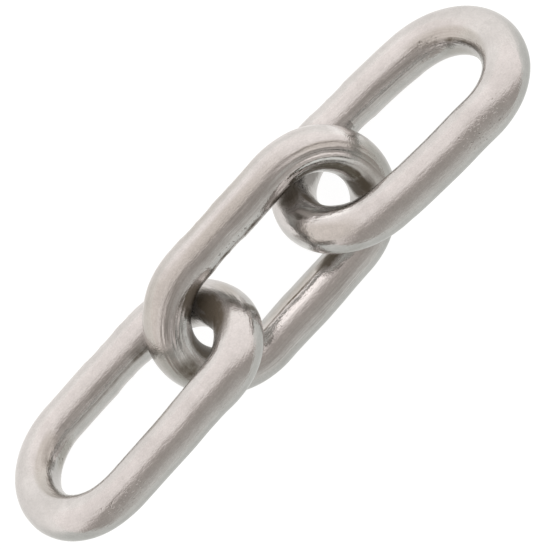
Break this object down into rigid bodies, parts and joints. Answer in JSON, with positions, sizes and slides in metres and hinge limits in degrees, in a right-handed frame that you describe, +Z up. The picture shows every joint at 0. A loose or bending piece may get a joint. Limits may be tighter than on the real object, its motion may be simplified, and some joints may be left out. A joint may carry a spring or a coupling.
{
  "type": "length of welded steel chain",
  "caption": "Short length of interlocked long-oval links of bare round-bar stainless steel, each welded shut, lying slack with neighbouring links leaning opposite ways.",
  "frame": {"origin": "centre of the bounding box in plan, on the floor that the links lie on", "axes": "+X along the chain, from the end link at the lower left of the picture to the one at the upper right; +Y across it, to the side where the middle link's upper leg lies; +Z up"},
  "size_m": [0.1022, 0.0252, 0.0245],
  "materials": {
    "lower_end_link": "satin, tumbled bare metal",
    "middle_link": "satin, tumbled bare metal",
    "upper_end_link": "satin, tumbled bare metal"
  },
  "bodies": {
    "middle": {"middle_link": "middle_link"},
    "lower_end": {"lower_end_link": "lower_end_link"},
    "upper_end": {"upper_end_link": "upper_end_link"}
  },
  "joints": [
    {"name": "lower_end_swing", "type": "hinge", "parent": "middle", "child": "lower_end", "pos_m": [-0.0191, 0.00085, 0.01222], "axis": [0.0116, 0.8327, 0.5535], "range_deg": [-100, 100]},
    {"name": "upper_end_swing", "type": "hinge", "parent": "middle", "child": "upper_end", "pos_m": [0.01921, -0.00037, 0.01188], "axis": [0.0675, 0.7985, 0.5982], "range_deg": [-100, 100]}
  ]
}
